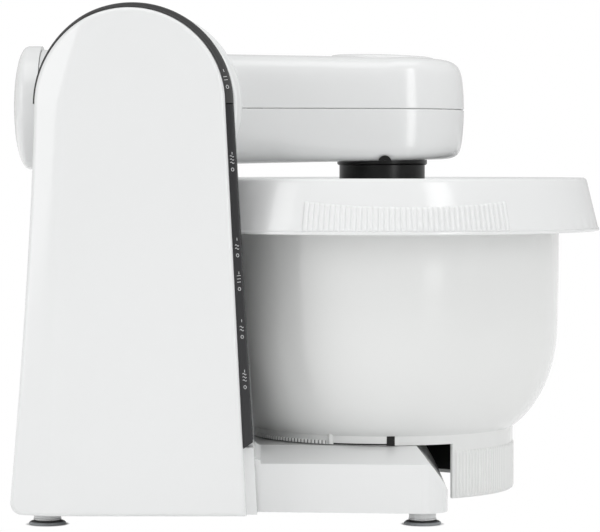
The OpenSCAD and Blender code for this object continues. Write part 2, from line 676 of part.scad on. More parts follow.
// ---- Gears ---------------------------------------------------------------------------
function unwind(rb, r) = sqrt(max(0, r*r/(rb*rb) - 1))*180/PI;
function involute_angle(rb, r) = unwind(rb, r) - atan(unwind(rb, r)*PI/180);
// Outline of z teeth of module m, with play taken off each tooth at the pitch circle
function gear_points(m, z, add, ded, play) =
  let (rp = m*z/2, rb = rp*cos(20), ra = rp + add, rf = rp - ded, r1 = max(rb, rf),
       half = 90/z - play/(2*rp)*180/PI + involute_angle(rb, rp), rs = [rf, r1, (r1 + ra)/2, ra])
  [for (i = [0:z-1]) let (c = 360*i/z) each concat(
    [for (r = rs) let (a = c - half + involute_angle(rb, r)) r*[cos(a), sin(a)]],
    [for (k = [3:-1:0]) let (r = rs[k], a = c + half - involute_angle(rb, r)) r*[cos(a), sin(a)]])];
module gear(m, z, z0, z1) translate([0, 0, z0]) linear_extrude(z1 - z0)
  polygon(gear_points(m, z, 0.8*m, 1.05*m, 0.25));

module ring_gear() color("ivory") place() difference() {
  rod_z(32, ring_z[0], ring_z[1]);
  rotate(180) translate([0, 0, ring_z[0] - eps]) linear_extrude(ring_z[1] - ring_z[0] + 2*eps)
    polygon(gear_points(ring_m, ring_teeth, 1.05*ring_m, 0.8*ring_m, -0.25));
}
module planet_gear() color("ivory") place() translate([-orbit, 0, 0]) difference() {
  rotate(180) gear(ring_m, planet_teeth, ring_z[0] + 0.2, ring_z[1] - 0.2);
  rod_z(5, ring_z[0] - 1, ring_z[1] + 1);
}
module main_gear() color("ivory") place() difference() {
  rotate(wheel_angle) gear(spur_m, main_teeth, spur_z[0], spur_z[1]);
  rod_z(6, spur_z[0] - 1, spur_z[1] + 1);
}
module worm_wheel() color("ivory") place() translate([wheel_x, worm_c, 0]) difference() {
  translate([0, 0, wheel_z[0]]) linear_extrude(wheel_z[1] - wheel_z[0])
    polygon([for (i = [0:8*wheel_teeth - 1]) let (a = 360*i/(8*wheel_teeth) - 90, r = wheel_r + 0.75*cos(45*i))
      r*[cos(a), sin(a)]]);
  rod_z(4, wheel_z[0] - 1, wheel_z[1] + 1);
}
module intermediate_shaft() color("silver") place() translate([wheel_x, worm_c, 0]) {
  rod_z(4, box_z[0] + 3, 265);
  rotate(wheel_angle + 180 + 180/pinion_teeth) gear(spur_m, pinion_teeth, spur_z[0], spur_z[1]);
}
module main_shaft() color("silver") place() rod_z(6, head_z[0], shaft_end_z);
module planet_carrier() color("#1c1c1e") place() difference() {
  rod_z(24.6, head_z[0], head_z[1]);
  rod_z(6, head_z[0] - 1, head_z[1] + 1);
  rod_z(5 + fit, head_z[0] - 1, head_z[1] + 1, -orbit);
}
module tool_spindle() color("silver") place() difference() {
  union() {
    rod_z(5, head_z[0] - 4, ring_z[1] + 1.5, -orbit);
    rod_z(6.9, head_z[0] - 9, head_z[0] - gap, -orbit);
  }
  rod_z(3.5, head_z[0] - 10, head_z[0] + 12, -orbit);
}
module slow_drive_coupling() color("#2c2c2e") place() difference() {
  rod_z(13, shaft_end_z - 4, shaft_end_z + 11);
  rod_z(6, shaft_end_z - 5, shaft_end_z);
  rod_z(5, shaft_end_z + 1, shaft_end_z + 12);
  for (a = [0:60:300]) rotate(a) block([8, -1.5, shaft_end_z + 6], [15, 1.5, shaft_end_z + 12]);
}
module box_outline(d) {
  circle(box_r - d);
  translate([-52 + d, -14 + d]) square([52 - d, 56 - 2*d]);
}
module gearbox_housing() color("darkgray") place() difference() {
  union() {
    difference() {
      translate([0, 0, box_z[0]]) linear_extrude(box_z[1] - box_z[0]) box_outline(0);
      translate([0, 0, box_z[0] + 2.5]) linear_extrude(box_z[1]) box_outline(2);
    }
    rod_z(5.4, box_z[0], box_z[0] + 6, wheel_x, worm_c);
  }
  rod_z(25.3, box_z[0] - 1, box_z[0] + 4);
  rod_z(4 + fit, box_z[0] + 2.9, box_z[0] + 10, wheel_x, worm_c);
  rod_x(8, -60, -45);
}
module gearbox_cover() color("darkgray") place() difference() {
  union() {
    translate([0, 0, box_z[1]]) linear_extrude(2.5) box_outline(0);
    rod_z(33, box_z[1], 284.5);
  }
  rod_z(31, box_z[1] + 2.5, 290);
  rod_z(6 + fit, box_z[1] - 1, box_z[1] + 4);
  rod_z(4 + fit, box_z[1] - 1, box_z[1] + 4, wheel_x, worm_c);
}

// ---- Covers over the drives ------------------------------------------------------------
module top_cover() color("whitesmoke") place() rotate_extrude() polygon([[0, 290.8], [24, 290.6], [31, 290],
  [33.3, 289], [34, 287.5], [34, 284.5 + gap], [30, 284.5 + gap], [30, 286.5], [0, 287.5]]);

// ---- Bowl and lid ---------------------------------------------------------------------
belly_r = 62;
belly_z = 117;
// Bowl wall, d inside its outer face, from its foot up to the straight side
function bowl_curve(d) = [for (i = [0:12]) let (a = -66.5 + 66.5*i/12)
  [belly_r + (bowl_r - 0.8 - belly_r - d)*cos(a), belly_z + (72 - d)*sin(a)]];
// Foot ring, and below it the skirt that reaches skirt_angle to each side of +X
module bowl_foot() difference() {
  ring_z(foot_ring_r, foot_ring_r - bowl_wall, skirt_z, foot_ring_top);
  linear_extrude(platform_top + gap) polygon([[0, 0], 200*[cos(skirt_angle), sin(skirt_angle)], [-200, 200],
    [-200, -200], 200*[cos(skirt_angle), -sin(skirt_angle)]]);
}
module bowl() color("#eceded") place() difference() {
  union() {
    rotate_extrude() polygon(concat([[0, 51]], bowl_curve(0), [[bowl_r, 153], [bowl_r, bowl_rim_z - 3.5],
      [119, bowl_rim_z - 3.5], [119, bowl_rim_z], [bowl_r - bowl_wall, bowl_rim_z], [bowl_r - bowl_wall, 153]],
      [for (i = [12:-1:0]) bowl_curve(bowl_wall)[i]], [[0, 53.5]]));
    bowl_foot();
  }
  rotate(2 - 90) block([foot_ring_r - 5, -2.5, platform_top - 1], [foot_ring_r + 2, 2.5, foot_ring_top - 2.2]);
}

// Turned section of the lid: skirt, raised edge, sunk floor, and the two rings under it
floor_z = lid_z1 - 10.8;
lid_wall = 2.4;
opening_half_w = 46;
opening_x = [10, 48];  // centres of the opening's round ends
module lid() color("whitesmoke") place() difference() {
  rotate_extrude() {
    polygon([[lid_r - 2.4, lid_z0], [lid_r, lid_z0], [lid_r, lid_z0 + 1.8], [lid_r - 0.8, lid_z0 + 2.2],
      [lid_top_r + 0.5, lid_z1 - 2.6], [lid_top_r - 0.2, lid_z1 - 0.8], [lid_top_r - 1.6, lid_z1],
      [lid_top_r - 3.4, lid_z1], [lid_top_r - 4.6, lid_z1 - 1], [lid_top_r - 7.5, floor_z], [0, floor_z],
      [0, floor_z - lid_wall], [lid_top_r - 9.4, floor_z - lid_wall], [lid_top_r - 8.2, floor_z - lid_wall + 0.6],
      [lid_top_r - 5, lid_z1 - 3.4], [lid_top_r - 2.6, lid_z1 - 3.4], [lid_r - 3.4, lid_z0 + 2]]);
    translate([bowl_r + 0.6, bowl_rim_z + gap]) square([2, floor_z - bowl_rim_z - gap - 1]);
    translate([bowl_r - bowl_wall - 4, bowl_rim_z - 7]) square([2, floor_z - bowl_rim_z + 6]);
  }
  for (x = opening_x) rod_z(opening_half_w, floor_z - 5, floor_z + 1, x);
  block([opening_x[0], -opening_half_w, floor_z - 5], [opening_x[1], opening_half_w, floor_z + 1]);
}

// ---- Tool --------------------------------------------------------------------------------
function unit(v) = v/norm(v);
function carry(u, t) = unit(u - (u*t)*t);
function carried(ts, i, u) = i == len(ts) ? [] : let (v = carry(u, ts[i])) concat([v], carried(ts, i + 1, v));
// Bar of radius r along a path, with flat ends
module bar(path, r, sides) {
  n = len(path);
  ts = [for (i = [0:n-1]) unit(path[min(i + 1, n - 1)] - path[max(i - 1, 0)])];
  us = carried(ts, 0, [1, 0, 0]);
  polyhedron([for (i = [0:n-1]) let (v = cross(ts[i], us[i]))
      for (j = [0:sides-1]) let (a = 360*j/sides) path[i] + r*(us[i]*cos(a) + v*sin(a))],
    concat([[for (j = [0:sides-1]) j]],
      [for (i = [0:n-2]) each [for (j = [0:sides-1]) let (k = (j + 1) % sides)
        each [[i*sides + j, (i + 1)*sides + j, (i + 1)*sides + k], [i*sides + j, (i + 1)*sides + k, i*sides + k]]]],
      [[for (j = [sides-1:-1:0]) (n - 1)*sides + j]]));
}
hook_z = [138, 66];   // where the spiral starts and ends
hook_swing = 27;
hook_turn = 430;
module dough_hook() color("silver") place() translate([-orbit, 0, 0]) {
  rod_z(3.5 - fit, head_z[0] - 16, head_z[0] + 10);
  rotate_extrude() polygon([[0, head_z[0] - 17], [14, head_z[0] - 17], [14, head_z[0] - 15.5],
    [7, head_z[0] - 9.6], [0, head_z[0] - 9.6]]);
  bar(concat([[0, 0, head_z[0] - 12], [0, 0, 160], [0, 0, hook_z[0] + 6]],
    [for (i = [0:36]) let (s = i/36, q = hook_swing*pow(sin(170*s), 0.9) + 0.01, a = 180 + hook_turn*s)
      [q*cos(a), q*sin(a), hook_z[0] + (hook_z[1] - hook_z[0])*s]]), 4.5, 12);
}

// ---- Parts shown -------------------------------------------------------------------------
tower_shell();
tower_inner_shell();
arch_trim();
front_trim();
platform();
base_plate();
foot_posts();
suction_foot_near_rear();
suction_foot_near_front();
suction_foot_far_rear();
suction_foot_far_front();
bowl_seat();
pivot_frame();
pivot_bush_near();
pivot_bush_far();
lever_pin();
switch_module();
cord_inlet();
housing_screws();
base_screws();
arm_upper_shell();
arm_lower_shell();
pivot_axle();
axle_clip();
index_disc();
motor_stator();
stator_windings();
motor_shield_front();
motor_shield_rear();
brush_holders();
carbon_brushes();
motor_bearings();
gearbox_housing();
gearbox_cover();
ring_gear();
drive_collar();
arm_screws();
motor_shaft();
armature();
commutator();
cooling_fan();
worm();
blender_coupling();
worm_wheel();
intermediate_shaft();
main_gear();
main_shaft();
planet_carrier();
slow_drive_coupling();
planet_gear();
tool_spindle();
dough_hook();
rear_cover();
top_cover();
speed_knob();
release_button();
latch_lever();
latch_spring();
bowl();
lid();
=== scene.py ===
"""Looks of the compact kitchen mixer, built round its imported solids.

Metres throughout. The machine stands on z = 0, +X runs from the tower to the bowl, and the
camera looks along +Y at the tower's outer face."""

from math import atan2, cos, hypot, pi, radians, sin

import bmesh
import bpy
import numpy as np
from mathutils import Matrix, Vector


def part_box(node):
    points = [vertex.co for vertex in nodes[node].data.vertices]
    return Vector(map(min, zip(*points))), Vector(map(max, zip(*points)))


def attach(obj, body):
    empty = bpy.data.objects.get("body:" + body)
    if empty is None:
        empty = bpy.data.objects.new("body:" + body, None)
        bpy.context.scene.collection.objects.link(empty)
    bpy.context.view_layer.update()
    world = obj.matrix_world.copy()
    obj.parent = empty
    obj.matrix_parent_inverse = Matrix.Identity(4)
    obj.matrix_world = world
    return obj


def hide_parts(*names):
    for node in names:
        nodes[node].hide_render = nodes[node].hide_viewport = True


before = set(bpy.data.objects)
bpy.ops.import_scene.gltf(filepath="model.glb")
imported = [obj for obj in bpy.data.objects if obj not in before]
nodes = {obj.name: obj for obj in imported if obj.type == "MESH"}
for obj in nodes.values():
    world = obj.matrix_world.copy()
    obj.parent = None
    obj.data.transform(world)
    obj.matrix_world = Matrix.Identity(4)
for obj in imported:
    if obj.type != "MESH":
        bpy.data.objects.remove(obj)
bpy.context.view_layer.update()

# ---- Camera ------------------------------------------------------------------------------
# A long lens 1.7 m in front of the tower's outer face, a little above the bowl's rim and
# tipped down so far that the lid's rim shows from outside only.
tip = radians(2.14)
camera_data = bpy.data.cameras.new("camera")
camera_data.lens = 162
camera_data.sensor_width = 36
camera_data.sensor_fit = "HORIZONTAL"
camera_data.clip_end = 20
camera = bpy.data.objects.new("camera", camera_data)
camera.location = (-0.0045, -1.728, 0.218)
camera.rotation_euler = (pi / 2 - tip, 0, 0)
bpy.context.scene.collection.objects.link(camera)
bpy.context.scene.camera = camera


# ---- Studio ------------------------------------------------------------------------------
# A white sweep under three soft boxes. Seen directly the floor and the room are plain white,
# but close round each foot the floor keeps its shadow.
def linear(code):
    """Linear RGBA of an sRGB hex colour."""
    parts = [int(code[i : i + 2], 16) / 255 for i in (1, 3, 5)]
    return (*[c / 12.92 if c <= 0.04045 else ((c + 0.055) / 1.055) ** 2.4 for c in parts], 1)


def add(material, kind, settings=None, **links):
    """Adds a shader node. settings holds its plain properties, and each link names an input,
    by its name or as _0, _1 by its place: a socket is joined to it, and anything else becomes
    its value."""
    tree = material.node_tree
    new = tree.nodes.new(kind)
    for key, value in (settings or {}).items():
        setattr(new, key, value)
    for key, value in links.items():
        socket = new.inputs[int(key[1:]) if key[1:].isdigit() else key.replace("_", " ")]
        if isinstance(value, bpy.types.NodeSocket):
            tree.links.new(value, socket)
        else:
            socket.default_value = value
    return new


def blank(made):
    """Empties the node tree of a new material or world."""
    made.use_nodes = True
    made.node_tree.nodes.clear()
    return made


def grid_quads(rows, columns, around=False, closed_up=False):
    """Faces of a grid whose points are numbered row by row: each four neighbours make one.
    around joins the last column to the first, and closed_up the last row to the first."""
    index = np.arange(rows * columns).reshape(rows, columns)
    if around:
        index = np.concatenate([index, index[:, :1]], axis=1)
    if closed_up:
        index = np.concatenate([index, index[:1]], axis=0)
    quads = np.stack([index[:-1, :-1], index[:-1, 1:], index[1:, 1:], index[1:, :-1]], axis=-1)
    return quads.reshape(-1, 4)


def mesh_object(name, points, faces):
    """Object at the origin with the given points and faces."""
    mesh = bpy.data.meshes.new(name)
    mesh.from_pydata(points, [], faces.tolist())
    made = bpy.data.objects.new(name, mesh)
    bpy.context.scene.collection.objects.link(made)
    return made


def surface(name, grid, around=False, closed_up=False):
    """Smooth mesh object through a grid of points, given as rows x columns x 3."""
    made = mesh_object(name, grid.reshape(-1, 3), grid_quads(*grid.shape[:2], around, closed_up))
    made.data.polygons.foreach_set("use_smooth", np.ones(len(made.data.polygons), bool))
    return made


def centre_of(name, axis):
    """Middle of a CAD node along an axis (0, 1 or 2)."""
    low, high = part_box(name)
    return (low[axis] + high[axis]) / 2


mm = 0.001
feet = [name for name in nodes if name.startswith("suction_foot")]
floor_ends = (-6.0, 6.0)
shaded_r, white_r = 11.3 * mm, 14 * mm
floor = surface("floor", np.array([[[x, y, 0] for x in floor_ends] for y in floor_ends]))
paper = blank(bpy.data.materials.new("white_paper"))
place = add(paper, "ShaderNodeNewGeometry").outputs["Position"]
nearest = None
for foot in feet:
    gap = add(paper, "ShaderNodeVectorMath", {"operation": "DISTANCE"}, _0=place,
              _1=(centre_of(foot, 0), centre_of(foot, 1), 0)).outputs["Value"]
    nearest = gap if nearest is None else add(
        paper, "ShaderNodeMath", {"operation": "MINIMUM"}, _0=nearest, _1=gap).outputs["Value"]
far = add(paper, "ShaderNodeMapRange", {"interpolation_type": "SMOOTHSTEP"}, Value=nearest,
          From_Min=shaded_r, From_Max=white_r)
diffuse = add(paper, "ShaderNodeBsdfDiffuse", Color=linear("#fbfbfb"))
glow = add(paper, "ShaderNodeEmission", Color=linear("#ffffff"), Strength=1.0)
ray = add(paper, "ShaderNodeLightPath")
seen = add(paper, "ShaderNodeMath", {"operation": "MAXIMUM"},
           _0=ray.outputs["Is Camera Ray"], _1=ray.outputs["Is Glossy Ray"])
share = add(paper, "ShaderNodeMath", {"operation": "MULTIPLY"},
            _0=far.outputs["Result"], _1=seen.outputs["Value"])
blend = add(paper, "ShaderNodeMixShader", _0=share.outputs["Value"],
            _1=diffuse.outputs["BSDF"], _2=glow.outputs["Emission"])
add(paper, "ShaderNodeOutputMaterial", Surface=blend.outputs["Shader"])
floor.data.materials.append(paper)

# The room lights the machine evenly, a little less from the camera's side.
world = blank(bpy.data.worlds.new("studio"))
bpy.context.scene.world = world
direction = add(world, "ShaderNodeTexCoord").outputs["Generated"]
front = add(world, "ShaderNodeVectorMath", {"operation": "DOT_PRODUCT"}, _0=direction,
            _1=(0, -1, 0)).outputs["Value"]
level = add(world, "ShaderNodeMapRange", {"interpolation_type": "SMOOTHSTEP"}, Value=front,
            From_Min=0.45, From_Max=0.9, To_Min=0.61, To_Max=0.55)
room = add(world, "ShaderNodeBackground", Color=linear("#ffffff"),
           Strength=level.outputs["Result"])
white = add(world, "ShaderNodeBackground", Color=linear("#ffffff"), Strength=1.0)
ray = add(world, "ShaderNodeLightPath")
seen = add(world, "ShaderNodeMath", {"operation": "MAXIMUM"},
           _0=ray.outputs["Is Camera Ray"], _1=ray.outputs["Is Transmission Ray"])
blend = add(world, "ShaderNodeMixShader", _0=seen.outputs["Value"],
            _1=room.outputs["Background"], _2=white.outputs["Background"])
add(world, "ShaderNodeOutputWorld", Surface=blend.outputs["Shader"])


def soft_box(name, location, aim, size, power):
    """A rectangular lamp of size (width, height) at location, facing aim, power in watts."""
    data = bpy.data.lights.new(name, "AREA")
    data.shape = "RECTANGLE"
    data.size, data.size_y = size
    data.energy = power
    lamp = bpy.data.objects.new(name, data)
    lamp.location = location
    x, y, z = np.array(location) - np.array(aim)
    lamp.rotation_euler = (atan2(hypot(x, y), z), 0, atan2(y, x) + pi / 2)
    bpy.context.scene.collection.objects.link(lamp)


soft_box("top_box", (0.1, -0.5, 2.2), (0, 0, 0.2), (2.4, 1.6), 15.5)
soft_box("left_box", (-1.9, -0.95, 0.6), (-0.1, 0, 0.2), (1.0, 1.6), 9)
soft_box("right_box", (1.1, -1.8, 0.7), (0, 0, 0.2), (0.45, 1.7), 9.5)
bpy.context.scene.view_settings.view_transform = "Standard"


# ---- White mouldings ---------------------------------------------------------------------
# The tower's two casings, the platform, the arm and the covers are injection-moulded ABS,
# polished in the mould: bright and glossy, with a faint ripple where the wall has sunk.
def shader(name, color, roughness, grain_mm, bump, ior=1.5, metallic=0.0, shift=0.03):
    """Dielectric or metal. Its colour wanders by shift over patches some 70 mm across, its
    roughness by 0.04, and its fine relief, 0.2 mm deep times bump, has bumps grain_mm across."""
    made = blank(bpy.data.materials.new(name))
    where = add(made, "ShaderNodeTexCoord").outputs["Object"]
    broad = add(made, "ShaderNodeTexNoise", Vector=where, Scale=14.0, Detail=3.0)
    fine = add(made, "ShaderNodeTexNoise", Vector=where, Scale=1000 / grain_mm, Detail=2.0)
    tint = add(made, "ShaderNodeMapRange", Value=broad.outputs["Fac"],
               To_Min=1 - shift, To_Max=1 + shift)
    base = add(made, "ShaderNodeVectorMath", {"operation": "SCALE"}, _0=linear(color)[:3],
               Scale=tint.outputs["Result"])
    gloss = add(made, "ShaderNodeMapRange", Value=fine.outputs["Fac"],
                To_Min=roughness - 0.04, To_Max=roughness + 0.04)
    relief = add(made, "ShaderNodeBump", Height=fine.outputs["Fac"], Strength=bump,
                 Distance=0.2 * mm)
    body = add(made, "ShaderNodeBsdfPrincipled", Base_Color=base.outputs["Vector"],
               Roughness=gloss.outputs["Result"], Normal=relief.outputs["Normal"],
               Metallic=metallic, IOR=ior)
    add(made, "ShaderNodeOutputMaterial", Surface=body.outputs["BSDF"])
    return made


def dress(material, *names):
    """Gives CAD nodes a material."""
    for name in names:
        mesh = nodes[name].data
        mesh.materials.clear()
        mesh.materials.append(material)


white_abs = shader("moulded_white_abs", "#e9eaea", 0.15, 1.6, 0.02, ior=1.53, shift=0.006)
dress(white_abs, "foot_posts", "tower_shell", "tower_inner_shell", "platform",
      "arm_upper_shell", "arm_lower_shell", "rear_cover", "top_cover", "lid")

# ---- Metal parts -------------------------------------------------------------------------
# Turned and stamped steel is plain and bright, zinc castings are dull and grey, and sintered
# bronze bushes and brush holders are brown. They are pressed or screwed into the mouldings.
steel = shader("plain_steel", "#b9babc", 0.3, 0.6, 0.05, metallic=1.0)
dress(steel, "intermediate_shaft", "main_shaft", "tool_spindle", "dough_hook", "motor_shaft",
      "worm", "pivot_axle", "axle_clip", "lever_pin", "housing_screws", "base_screws",
      "arm_screws", "latch_lever", "latch_spring", "index_disc", "armature", "motor_stator",
      "motor_bearings")
zinc = shader("die_cast_zinc", "#9a9ca0", 0.45, 1.0, 0.15, metallic=1.0)
dress(zinc, "pivot_frame", "motor_shield_front", "motor_shield_rear", "gearbox_housing",
      "gearbox_cover")
bronze = shader("sintered_bronze", "#a8763f", 0.4, 0.5, 0.1, metallic=1.0)
dress(bronze, "pivot_bush_near", "pivot_bush_far", "brush_holders")

# ---- Windings, brushes and switch --------------------------------------------------------
# The motor's coils are enamelled copper with a red-brown shine, its brushes dull pressed
# carbon. The switch module is a box of blue moulded nylon behind the speed knob.
copper = shader("enamelled_copper", "#b0552a", 0.3, 0.8, 0.2, metallic=1.0)
dress(copper, "stator_windings", "commutator")
carbon = shader("pressed_carbon", "#1c1c1d", 0.6, 0.5, 0.2)
dress(carbon, "carbon_brushes")
switch_nylon = shader("moulded_switch_nylon", "#2a4a63", 0.4, 1.0, 0.1)
dress(switch_nylon, "switch_module")

# ---- Gears -------------------------------------------------------------------------------
# Worm wheel, main gear, planet and ring are moulded acetal, cream and slightly waxy, pressed
# onto their shafts.
acetal = shader("moulded_acetal", "#d9d4c4", 0.35, 1.0, 0.05)
dress(acetal, "worm_wheel", "main_gear", "planet_gear", "ring_gear")

# ---- Base, seat and controls -------------------------------------------------------------
# The base plate, the bowl's seat, the speed knob and the release button are satin grey
# polypropylene, which spreads the lamps' reflections.
grey_pp = shader("satin_grey_polypropylene", "#cfd0d1", 0.35, 1.2, 0.05)
dress(grey_pp, "base_plate", "bowl_seat", "speed_knob", "release_button")

# ---- Collar and couplings ----------------------------------------------------------------
# The drive collar, the couplings, the fan and the cord's inlet are black glass-filled nylon
# with a soft shine.
black_nylon = shader("gloss_black_nylon", "#0a0a0a", 0.3, 1.5, 0.02, ior=1.4)
dress(black_nylon, "drive_collar", "planet_carrier", "blender_coupling",
      "slow_drive_coupling", "cooling_fan", "cord_inlet")

# ---- Tower's outer casing ----------------------------------------------------------------
# One tall moulded ABS cover, arched at the top and wider at the foot. Its face is flat, with
# a broad bevel along the rear that runs out in the arch.
bowl_x = centre_of("lid", 0)
pivot_x, pivot_z = centre_of("pivot_bush_near", 0), centre_of("pivot_bush_near", 2)
_, side_y, foot_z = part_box("tower_shell")[0]
parting_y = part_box("tower_shell")[1][1]
arch_r = 60 * mm
casing_r = 57.1 * mm
casing_x = pivot_x - 1.9 * mm


def drop(z):
    """Share of the way down from the pivot to the casing's foot, at height z."""
    return (pivot_z - z) / (pivot_z - foot_z)


def casing_front(z):
    """The casing's front edge: a straight line that runs 12.3 mm forwards to the foot."""
    return casing_x + casing_r + 12.3 * mm * drop(z)


def trim_front(z):
    """The outer edge of the trim before it: a straight line that runs 13.9 mm forwards."""
    return pivot_x + arch_r + 13.9 * mm * drop(z)


def casing_rear(z):
    """The rear edge: it runs 16 mm backwards with the 1.4th power of the drop."""
    return casing_x - casing_r - 16 * mm * drop(z) ** 1.4


def casing_loop(inset):
    """Outline in side view, inset metres inside the edge: up the front, over the round
    arch, down the rear, round the lower rear corner and back along the bottom."""
    corner = 7 * mm
    bottom = foot_z + inset
    heel = casing_rear(bottom + corner) + inset
    up = np.linspace(bottom, pivot_z, 60, endpoint=False)
    over = np.linspace(0, pi, 110)
    down = np.linspace(pivot_z, bottom + corner, 70)[1:]
    turn = np.linspace(0, pi / 2, 10)[1:]
    back = np.linspace(heel + corner, casing_front(bottom) - inset, 90)[1:-1]
    x = np.concatenate([casing_front(up) - inset, casing_x + (casing_r - inset) * np.cos(over),
                        casing_rear(down) + inset, heel + corner * (1 - np.cos(turn)), back])
    z = np.concatenate([up, pivot_z + (casing_r - inset) * np.sin(over), down,
                        bottom + corner * (1 - np.sin(turn)), np.full_like(back, bottom)])
    return x, z


def fold_x(z):
    """Fold between the flat face and its rear bevel: almost upright, 43 mm behind the pivot,
    and above the pivot it leans forwards by 14 mm over 50 mm."""
    above = np.clip(z - pivot_z, 0, None) / (50 * mm)
    below = np.clip(pivot_z - z, 0, None)
    return pivot_x - 43 * mm - 0.03 * below + 14 * mm * above**1.1


def face_y(x, z, inset):
    """Face at the point (x, z), inset metres inside the edge. It is flat up to the fold and
    falls back behind it, eased by 3 mm, with a slope that grows from 0.37 at the foot to 0.6
    in the arch. The edge is rounded by 2.5 mm."""
    behind = fold_x(z) - x
    slope = 0.37 + 0.24 * ((z - foot_z) / (300 * mm)) ** 2
    bevel = slope / 2 * (np.hypot(behind, 3 * mm) + behind)
    rim = 2.5 * mm
    near = np.clip(rim - inset, 0, rim)
    return side_y + bevel + rim - np.sqrt(rim**2 - near**2)


def closed(piece, fill=True, distance=1e-6):
    """Merges points that lie on each other. With fill, it also closes each open loop with one
    face and turns all faces outwards."""
    work = bmesh.new()
    work.from_mesh(piece.data)
    bmesh.ops.remove_doubles(work, verts=work.verts, dist=distance)
    if fill:
        bmesh.ops.holes_fill(work, edges=[edge for edge in work.edges if edge.is_boundary])
        bmesh.ops.recalc_face_normals(work, faces=work.faces)
    work.to_mesh(piece.data)
    work.free()


def finished(piece, angle):
    """Applies the modifiers and keeps edges sharper than angle as creases in the shading."""
    graph = bpy.context.evaluated_depsgraph_get()
    mesh = bpy.data.meshes.new_from_object(piece.evaluated_get(graph))
    piece.modifiers.clear()
    piece.data = mesh
    mesh.polygons.foreach_set("use_smooth", np.ones(len(mesh.polygons), bool))
    mesh.set_sharp_from_angle(angle=radians(angle))


edge_steps = (0, 0.002, 0.007, 0.015, 0.026, 0.04, 0.056, 0.074)
x, z = casing_loop(0)
rows = [np.stack([x, np.full_like(x, parting_y), z], axis=-1)]
for inset in 34 * mm * np.concatenate([edge_steps, np.linspace(0.09, 1, 54)]):
    x, z = casing_loop(inset)
    rows.append(np.stack([x, face_y(x, z, inset), z], axis=-1))
casing = surface("tower_casing", np.array(rows), around=True)
closed(casing)
finished(casing, 50)
casing.data.materials.append(white_abs)
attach(casing, "stand")
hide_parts("tower_shell")

# ---- Arch band ---------------------------------------------------------------------------
# A grey ABS band, glossy as the mould left it, lies clipped in the step round the casing's
# arch. A fine groove parts it from the casing, and its front end dips at the strip's joint.
trim_grey = shader("gloss_grey_abs", "#3d3d3d", 0.2, 1.5, 0.02)
dress(trim_grey, "arch_trim")
groove = 0.3 * mm
proud = 0.5 * mm
bulge = 0.3 * mm
joint_dip = 0.8 * mm


def band(name, inner, outer, y_face, y_back):
    """Strip between an inner and an outer edge line, given as (x, z) point rows. Across it the
    visible side bulges by half a sine wave and rolls over the outer edge with a 0.9 mm radius;
    then it runs back to y_back."""
    roll = 0.9 * mm
    width = np.hypot(*(outer - inner).T)
    across = (outer - inner) / width[:, None]
    rows = [(inner + across * (s * (width - roll))[:, None], y_face - bulge * sin(pi * s))
            for s in np.linspace(0, 1, 7)]
    rows += [(outer - across * (roll * (1 - sin(t))), y_face + roll * (1 - cos(t)))
             for t in np.linspace(0.15, 1, 7) * pi / 2]
    rows += [(outer, y_back), (inner, y_back)]
    grid = np.array([np.stack([line[:, 0], y, line[:, 1]], axis=-1) for line, y in rows])
    piece = surface(name, grid, closed_up=True)
    closed(piece)
    finished(piece, 40)
    return piece


turn = np.concatenate([[0, 0.006], np.linspace(0.03, pi, 118)])
circle = np.stack([np.cos(turn), np.sin(turn)], axis=-1)
arch_in = (casing_x, pivot_z) + (casing_r + groove) * circle
arch_out = (pivot_x, pivot_z) + arch_r * circle
arch_face = face_y(*arch_out.T, 0) - proud
arch_face[0] += joint_dip
arch_band = band("arch_band", arch_in, arch_out, arch_face, np.full_like(turn, parting_y))
arch_band.data.materials.append(trim_grey)
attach(arch_band, "stand")
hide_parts("arch_trim")

# ---- Front strip -------------------------------------------------------------------------
# A charcoal ABS strip runs on from the band down the casing's front edge to the platform,
# reaches back to the hollow round the bowl and ends in a short slant. It shines like the band.
strip_black = shader("gloss_charcoal_abs", "#232325", 0.2, 1.5, 0.02)
dress(strip_black, "front_trim")
strip_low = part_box("front_trim")[0][2]
slant = 3.9 * mm


def hollow_r(z):
    """Radius round the bowl's axis of the hollow in the tower's front: 118 mm at a height of
    46.4 mm, 22.5 mm more at 170 mm, and upright above."""
    cone = 118 * mm + 22.5 * mm * (z - 46.4 * mm) / (123.6 * mm)
    return np.where(z < 170 * mm, cone, 140.5 * mm)


fall = np.concatenate([[0, 0.0018], np.linspace(0.012, 1, 90)])
inner_z = pivot_z + (strip_low - pivot_z) * fall
outer_z = pivot_z + (strip_low + slant - pivot_z) * fall
strip_in = np.stack([casing_front(inner_z) + groove, inner_z], axis=-1)
strip_out = np.stack([trim_front(outer_z), outer_z], axis=-1)
hollow_y = np.sqrt(hollow_r(outer_z) ** 2 - (strip_out[:, 0] - bowl_x) ** 2)
strip_back = -np.maximum(-parting_y, hollow_y + 0.2 * mm)
strip_face = face_y(*strip_out.T, 0) - proud
strip_face[0] += joint_dip
front_strip = band("front_strip", strip_in, strip_out, strip_face, strip_back)
front_strip.data.materials.append(strip_black)
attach(front_strip, "stand")
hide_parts("front_trim")


# ---- Marks on the strip ------------------------------------------------------------------
# Six groups of generic pictographs are pad-printed in matt, light grey ink on the strip's
# forward half, one beside each step of the speed control: a short tick, a few waves or bars,
# and a ring below them.
def stroke(points, width):
    """Both edges of a flat line of the given width through points (across, up): each point is
    moved to both sides along the normal of its neighbours' chord."""
    along = np.gradient(points, axis=0)
    along /= np.hypot(*along.T)[:, None]
    side = np.stack([-along[:, 1], along[:, 0]], axis=-1) * width / 2
    return np.stack([points - side, points + side])


